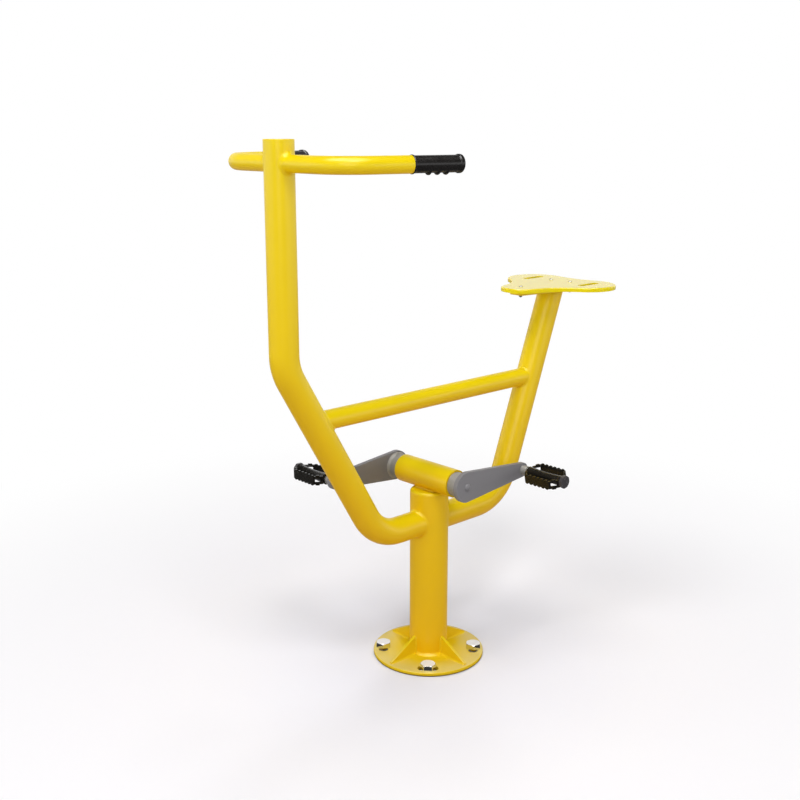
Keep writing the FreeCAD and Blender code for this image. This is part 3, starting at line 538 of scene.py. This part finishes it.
seams = (
    (lowFront, post, tubeBead), (lowRear, post, tubeBead), (braceToRear, frontRun, tubeBead),
    (braceToFront, rearRun, tubeBead), (barLeft, mast, barBead), (barRight, mast, barBead),
    (rearRun, seatPlateUnder, tubeBead), (post, flangeTop, footBead))
frameWeldVerts, frameWeldFaces = [], []
for branch, main, bead in seams:
    seam = branchLine(branch, main, weldSteps["seam"])
    addBead(frameWeldVerts, frameWeldFaces, seam, main, branch, bead, True)
newPiece("frame_welds", frameWeldVerts, frameWeldFaces, yellowCoat, "frame")

# a bead along the foot and the post on both sides of each gusset, stopping short of its tips
gussetSizes = {"count": 4, "halfThickness": 3.5 * mm, "toe": 121 * mm, "top": 52 * mm}
gussetVerts, gussetFaces = [], []
for number in range(gussetSizes["count"]):
    turn = 2 * math.pi * number / gussetSizes["count"]
    run = Vector((math.cos(turn), math.sin(turn), 0))
    for side in (-1, 1):
        sideways = Vector((-run.y, run.x, 0)) * side
        middle = sideways * gussetSizes["halfThickness"]
        face = plate(middle, sideways)
        root = middle + run * postRadius
        low = up * flangeHeight
        foot = straightLine(root + low, middle + run * gussetSizes["toe"] + low, weldSteps["gussetFoot"])
        addBead(gussetVerts, gussetFaces, foot, flangeTop, face, gussetBead, False)
        uprightFoot = onSurface(post, root + low, 0)
        uprightTop = onSurface(post, root + up * gussetSizes["top"], 0)
        upright = straightLine(uprightFoot, uprightTop, weldSteps["gussetUpright"])
        addBead(gussetVerts, gussetFaces, upright, post, face, gussetBead, False)
newPiece("gusset_welds", gussetVerts, gussetFaces, flangeCoat, "frame")

# the crank housing lies in the post's cap, with a bead along each side
housingSizes = {"halfRun": 30 * mm}
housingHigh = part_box("crank_housing")[1]
housingRadius = housingHigh.x
housingHeight = housingHigh.z - housingRadius
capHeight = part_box("post_cap")[1].z
housing = tube((0, 0, housingHeight), (0, 1, 0), housingRadius)
capTop = plate((0, 0, capHeight), up)
reach = math.sqrt(housingRadius ** 2 - (housingHeight - capHeight) ** 2)
saddleVerts, saddleFaces = [], []
for side in (-1, 1):
    start = Vector((side * reach, -housingSizes["halfRun"], capHeight))
    end = Vector((side * reach, housingSizes["halfRun"], capHeight))
    line = straightLine(start, end, weldSteps["saddle"])
    addBead(saddleVerts, saddleFaces, line, capTop, housing, saddleBead, False)
newPiece("housing_welds", saddleVerts, saddleFaces, yellowCoat, "frame")
print("welds made")


# Rings of points about an axis become a closed skin with flat ends.
def addTurned(verts, faces, rings):
    base = len(verts)
    around = len(rings[0])
    for ring in rings:
        verts.extend(ring)
    for row in range(len(rings) - 1):
        for step in range(around):
            after = (step + 1) % around
            here = base + row * around
            faces.append((here + step, here + after, here + around + after, here + around + step))
    faces.append([base + step for step in reversed(range(around))])
    faces.append([base + (len(rings) - 1) * around + step for step in range(around)])


# Hand grip: a moulded sleeve with a thin lip at the tube, a collar at its round end and finger ridges below.
gripSizes = {
    "startX": 264.06 * mm, "startY": 212.16 * mm, "sweep": 14.0, "length": 110 * mm, "radius": 16.4 * mm,
    "lip": 1.6 * mm, "lipWidth": 3.5 * mm, "collarAt": 100 * mm, "edge": 0.8 * mm, "edgeTaper": 0.6,
    "endRound": 5 * mm, "ridges": (36.85 * mm, 56.1 * mm, 74.8 * mm), "ridgeRise": 4.0 * mm,
    "ridgeHalfWidth": 4.5 * mm, "ridgeRadius": 11 * mm, "rows": 220, "around": 64}


def smoothStep(low, high, value):
    t = min(1.0, max(0.0, (value - low) / (high - low)))
    return t * t * (3 - 2 * t)


def gripRadius(along, downward):
    edge, endRound, halfWidth = gripSizes["edge"], gripSizes["endRound"], gripSizes["ridgeHalfWidth"]
    lip = 1 - smoothStep(gripSizes["lipWidth"] - edge, gripSizes["lipWidth"] + edge, along)
    collar = smoothStep(gripSizes["collarAt"] - edge, gripSizes["collarAt"] + edge, along)
    radius = gripSizes["radius"] + gripSizes["lip"] * max(lip, collar)
    left = gripSizes["length"] - along
    if left < endRound:
        radius -= endRound - math.sqrt(max(0.0, endRound ** 2 - (endRound - left) ** 2))
    if along < edge:
        radius -= (edge - along) * gripSizes["edgeTaper"]
    # each ridge is a smaller ring, lowered so that it shows only below
    drop = gripSizes["radius"] + gripSizes["ridgeRise"] - gripSizes["ridgeRadius"]
    for ridge in gripSizes["ridges"]:
        offset = abs(along - ridge)
        if offset < halfWidth:
            ring = gripSizes["ridgeRadius"] - halfWidth + math.sqrt(halfWidth ** 2 - offset ** 2)
            room = ring ** 2 - drop ** 2 * (1 - downward ** 2)
            if room > 0:
                radius = max(radius, drop * downward + math.sqrt(room))
    return radius


sweep = math.radians(gripSizes["sweep"])
for name, side in (("left", 1), ("right", -1)):
    start = Vector((gripSizes["startX"], side * gripSizes["startY"], frameSizes["barHeight"]))
    axis = Vector((-math.cos(sweep), side * math.sin(sweep), 0))
    sideways = axis.cross(up)
    rings = []
    for row in range(gripSizes["rows"] + 1):
        along = gripSizes["length"] * row / gripSizes["rows"]
        ring = []
        for step in range(gripSizes["around"]):
            turn = side * 2 * math.pi * step / gripSizes["around"]
            outward = sideways * math.cos(turn) + up * math.sin(turn)
            ring.append(start + axis * along + outward * gripRadius(along, -outward.z))
        rings.append(ring)
    verts, faces = [], []
    addTurned(verts, faces, rings)
    grip = newPiece("hand_grip_" + name, verts, faces, blackRubber, "frame")
    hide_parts("grip_" + name)
print("grips made")


# Button-head bolts with a hex socket hold the seat board: one at its nose and a pair at the back.
boltSizes = {
    "noseX": -303.7 * mm, "rearX": -453.8 * mm, "rearY": 29.7 * mm, "shank": 2.5 * mm, "head": 4.75 * mm,
    "rise": 2.75 * mm, "domeRows": 7, "domeStep": 12, "domePower": 0.7, "socket": 1.5 * mm,
    "socketMouth": 1.18, "socketChamfer": 0.3 * mm, "socketDepth": 1.6 * mm, "around": 48}


def boltRings(placeX, placeY):
    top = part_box("seat_board")[1].z
    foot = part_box("seat_bolts")[0].z
    rows = [(boltSizes["shank"], foot, False), (boltSizes["shank"], top, False)]
    for step in range(boltSizes["domeRows"]):
        lean = math.radians(boltSizes["domeStep"] * step)
        across = boltSizes["head"] * math.cos(lean) ** boltSizes["domePower"]
        rows.append((across, top + boltSizes["rise"] * math.sin(lean), False))
    socketTop = rows[-1][1]
    rows.append((boltSizes["socket"] * boltSizes["socketMouth"], socketTop, False))
    rows.append((boltSizes["socket"], socketTop - boltSizes["socketChamfer"], True))
    rows.append((boltSizes["socket"], socketTop - boltSizes["socketDepth"], True))
    rings = []
    for radius, height, sixSided in rows:
        ring = []
        for step in range(boltSizes["around"]):
            turn = 2 * math.pi * step / boltSizes["around"]
            span = radius
            if sixSided:
                span = radius / math.cos((turn % (math.pi / 3)) - math.pi / 6)
            ring.append(Vector((placeX + span * math.cos(turn), placeY + span * math.sin(turn), height)))
        rings.append(ring)
    return rings


boltVerts, boltFaces = [], []
for placeX, placeY in ((boltSizes["noseX"], 0), (boltSizes["rearX"], boltSizes["rearY"]),
                       (boltSizes["rearX"], -boltSizes["rearY"])):
    addTurned(boltVerts, boltFaces, boltRings(placeX, placeY))
seatBolts = newPiece("seat_button_bolts", boltVerts, boltFaces, zincPlate, "frame")
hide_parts("seat_bolts")
print("seat bolts made")


# Studio: a pale floor that keeps the shadow nearby, with painted shade round the base, and fades to white
# far off, with white all round.
# Mirrors find white low behind the bike, a pale panel on each side, a bright one above and dark elsewhere.
studio = {
    "floorColour": "#FEFCFF", "paintedFloorShadeColour": "#F3F3FB", "paintedFloorShadeFade": (0.1, 0.6), "bounceColour": "#CAC8CB",
    "floorRadius": 9.0, "floorSides": 96, "fade": (0.5, 1.9), "floorGrainMm": 40,
    "floorRoughness": (0.8, 0.95), "floorSheen": 0.1, "worldLight": 0.09, "panelLight": 2.8,
    "mirrorDark": 0.05, "mirrorFloor": 0.35, "mirrorPanel": 1.0, "mirrorTop": 7.0}
# directions in the studio: towards the camera's side, across it, and up to the large top panel
studioFront = (0.71, 0.71, 0)
studioSide = (0.71, -0.71, 0)
studioTop = (0.18, 0.19, 0.965)
# soft edges of the panels: share of a direction where each starts, and where it is full
panelEdges = {"aside": (0.5, 0.8), "sideLow": (0.3, 0.15), "behind": (-0.05, -0.55), "backLow": (0.7, 0.4),
              "top": (0.83, 0.92)}
# round softboxes: place, width across, watts, whether it shows in gloss
softboxes = {
    "keyBox": ((3.75, -0.35, 9.65), 5.4, 412, True), "fillBox": ((2.86, 4.93, 9.5), 3.6, 348, True),
    "backBox": ((-3.6, -1.4, 4.1), 1.6, 50, False), "frontBox": ((3.5, 3.1, 2.3), 3.4, 71, True)}
softboxAim = (0, 0, 0.7)
cameraSizes = {"place": (1.696879, 1.706838, 1.222317), "pitch": 14.083, "yaw": 136.775,
               "focalPixels": 1099.227, "imagePixels": 800, "sensorMm": 36.0}


# Matt paint on a smooth floor: an even pale tone with a faint change of dullness.
def floorPaint():
    material = bpy.data.materials.new("painted_studio_floor")
    material.use_nodes = True
    tree = material.node_tree
    tree.nodes.clear()
    path = addNode(tree, "LightPath").outputs
    place = addNode(tree, "TexCoord").outputs["Object"]
    grain = addNode(tree, "TexNoise", {"Scale": perMetre(studio["floorGrainMm"]), "Detail": 2.0},
                    {"Vector": place})
    smoothest, roughest = studio["floorRoughness"]
    dull = addNode(tree, "MapRange", {"To Min": smoothest, "To Max": roughest},
                   {"Value": grain.outputs["Fac"]})
    # the floor is painted a little greyer round the base: painted shade
    distance = addNode(tree, "VectorMath", {"operation": "LENGTH"}, {0: place}).outputs["Value"]
    greyest, palest = studio["paintedFloorShadeFade"]
    unshaded = addNode(tree, "MapRange",
                        {"interpolation_type": "SMOOTHSTEP", "From Min": greyest, "From Max": palest},
                        {"Value": distance})
    # painted shade: greyer close to the base, full pale colour further out
    paintedShadeTone = addNode(tree, "Mix", {"data_type": "RGBA", 6: hexToLinear(studio["paintedFloorShadeColour"]),
                                    7: hexToLinear(studio["floorColour"])}, {0: unshaded.outputs["Result"]})
    # light that the floor sends up into the bike is held back, as by a grey cloth
    tone = addNode(tree, "Mix", {"data_type": "RGBA", 7: hexToLinear(studio["bounceColour"])},
                   {0: path["Is Diffuse Ray"], 6: paintedShadeTone.outputs[2]})
    matt = addNode(tree, "BsdfPrincipled", {"Specular IOR Level": studio["floorSheen"]},
                   {"Roughness": dull.outputs["Result"], "Base Color": tone.outputs[2]})
    nearest, farthest = studio["fade"]
    far = addNode(tree, "MapRange",
                  {"interpolation_type": "SMOOTHSTEP", "From Min": nearest, "From Max": farthest},
                  {"Value": distance})
    # gloss sees a dim floor, darker on the camera's side
    outward = addNode(tree, "VectorMath", {"operation": "NORMALIZE"}, {0: place})
    front = addNode(tree, "VectorMath", {"operation": "DOT_PRODUCT", 1: studioFront},
                    {0: outward.outputs["Vector"]})
    start, full = panelEdges["behind"]
    mirrored = addNode(tree, "MapRange",
                       {"interpolation_type": "SMOOTHSTEP", "From Min": start, "From Max": full,
                        "To Min": studio["mirrorDark"], "To Max": studio["mirrorFloor"]},
                       {"Value": front.outputs["Value"]})
    strength = addNode(tree, "Mix", {2: 1.0}, {0: path["Is Glossy Ray"], 3: mirrored.outputs["Result"]})
    glow = addNode(tree, "Emission", {"Color": (1, 1, 1, 1)}, {"Strength": strength.outputs[0]})
    seen = addNode(tree, "Math", {"operation": "MAXIMUM"},
                   {0: path["Is Camera Ray"], 1: path["Is Transmission Ray"]})
    faded = addNode(tree, "Math", {"operation": "MULTIPLY"}, {0: far.outputs["Result"], 1: seen.outputs[0]})
    share = addNode(tree, "Math", {"operation": "MAXIMUM"}, {0: faded.outputs[0], 1: path["Is Glossy Ray"]})
    mixed = addNode(tree, "MixShader", {},
                    {0: share.outputs[0], 1: matt.outputs["BSDF"], 2: glow.outputs["Emission"]})
    addNode(tree, "OutputMaterial", {}, {"Surface": mixed.outputs["Shader"]})
    return material


def makeFloor():
    sides, radius = studio["floorSides"], studio["floorRadius"]
    turn = 2 * math.pi / sides
    rim = [(radius * math.cos(turn * step), radius * math.sin(turn * step), 0) for step in range(sides)]
    mesh = bpy.data.meshes.new("studio_floor")
    mesh.from_pydata(rim, [], [list(range(sides))])
    mesh.materials.append(floorPaint())
    floor = bpy.data.objects.new("studio_floor", mesh)
    bpy.context.scene.collection.objects.link(floor)


def makeWorld():
    world = bpy.data.worlds.new("white_studio")
    bpy.context.scene.world = world
    world.use_nodes = True
    tree = world.node_tree
    tree.nodes.clear()
    path = addNode(tree, "LightPath").outputs
    direction = addNode(tree, "TexCoord").outputs["Generated"]
    height = addNode(tree, "SeparateXYZ", {}, {0: direction}).outputs["Z"]
    front, side, topward = (
        addNode(tree, "VectorMath", {"operation": "DOT_PRODUCT", 1: axis}, {0: direction}).outputs["Value"]
        for axis in (studioFront, studioSide, studioTop))
    aside = addNode(tree, "Math", {"operation": "ABSOLUTE"}, {0: side}).outputs[0]
    along = {"aside": aside, "sideLow": height, "behind": front, "backLow": height, "top": topward}
    patch = {}
    for name, (start, full) in panelEdges.items():
        edge = addNode(tree, "MapRange",
                       {"interpolation_type": "SMOOTHSTEP", "From Min": start, "From Max": full},
                       {"Value": along[name]})
        patch[name] = edge.outputs["Result"]
    sidePanel = addNode(tree, "Math", {"operation": "MULTIPLY"}, {0: patch["aside"], 1: patch["sideLow"]})
    whiteBack = addNode(tree, "Math", {"operation": "MULTIPLY"}, {0: patch["behind"], 1: patch["backLow"]})
    # what gloss sees
    paleSide = addNode(tree, "Math", {"operation": "MULTIPLY", 1: studio["mirrorPanel"]},
                       {0: sidePanel.outputs[0]})
    brightTop = addNode(tree, "Math", {"operation": "MULTIPLY", 1: studio["mirrorTop"]}, {0: patch["top"]})
    lowPanels = addNode(tree, "Math", {"operation": "MAXIMUM"},
                        {0: whiteBack.outputs[0], 1: paleSide.outputs[0]})
    allPanels = addNode(tree, "Math", {"operation": "MAXIMUM"},
                        {0: lowPanels.outputs[0], 1: brightTop.outputs[0]})
    mirrored = addNode(tree, "Math", {"operation": "MAXIMUM", 1: studio["mirrorDark"]},
                       {0: allPanels.outputs[0]})
    # what lights the bike, and the white that the camera sees
    lit = addNode(tree, "Math",
                  {"operation": "MULTIPLY_ADD", 1: studio["panelLight"], 2: studio["worldLight"]},
                  {0: sidePanel.outputs[0]})
    unseen = addNode(tree, "Mix", {}, {0: path["Is Glossy Ray"], 2: lit.outputs[0], 3: mirrored.outputs[0]})
    seen = addNode(tree, "Math", {"operation": "MAXIMUM"},
                   {0: path["Is Camera Ray"], 1: path["Is Transmission Ray"]})
    strength = addNode(tree, "Mix", {3: 1.0}, {0: seen.outputs[0], 2: unseen.outputs[0]})
    sky = addNode(tree, "Background", {"Color": (1, 1, 1, 1)}, {"Strength": strength.outputs[0]})
    addNode(tree, "OutputWorld", {}, {"Surface": sky.outputs["Background"]})


def makeLamps():
    for name, (place, width, watts, showsInGloss) in softboxes.items():
        data = bpy.data.lights.new(name, "AREA")
        data.shape = "DISK"
        data.size = width
        data.energy = watts
        lamp = bpy.data.objects.new(name, data)
        lamp.location = place
        lamp.rotation_euler = (Vector(place) - Vector(softboxAim)).to_track_quat("Z", "Y").to_euler()
        lamp.visible_glossy = showsInGloss
        bpy.context.scene.collection.objects.link(lamp)


def makeCamera():
    data = bpy.data.cameras.new("photo_camera")
    data.sensor_width = cameraSizes["sensorMm"]
    data.lens = cameraSizes["focalPixels"] * cameraSizes["sensorMm"] / cameraSizes["imagePixels"]
    camera = bpy.data.objects.new("photo_camera", data)
    camera.location = cameraSizes["place"]
    camera.rotation_euler = (math.radians(90 - cameraSizes["pitch"]), 0, math.radians(cameraSizes["yaw"]))
    bpy.context.scene.collection.objects.link(camera)
    bpy.context.scene.camera = camera


makeFloor()
makeWorld()
makeLamps()
makeCamera()
bpy.context.scene.view_settings.view_transform = "Standard"
print("studio made")
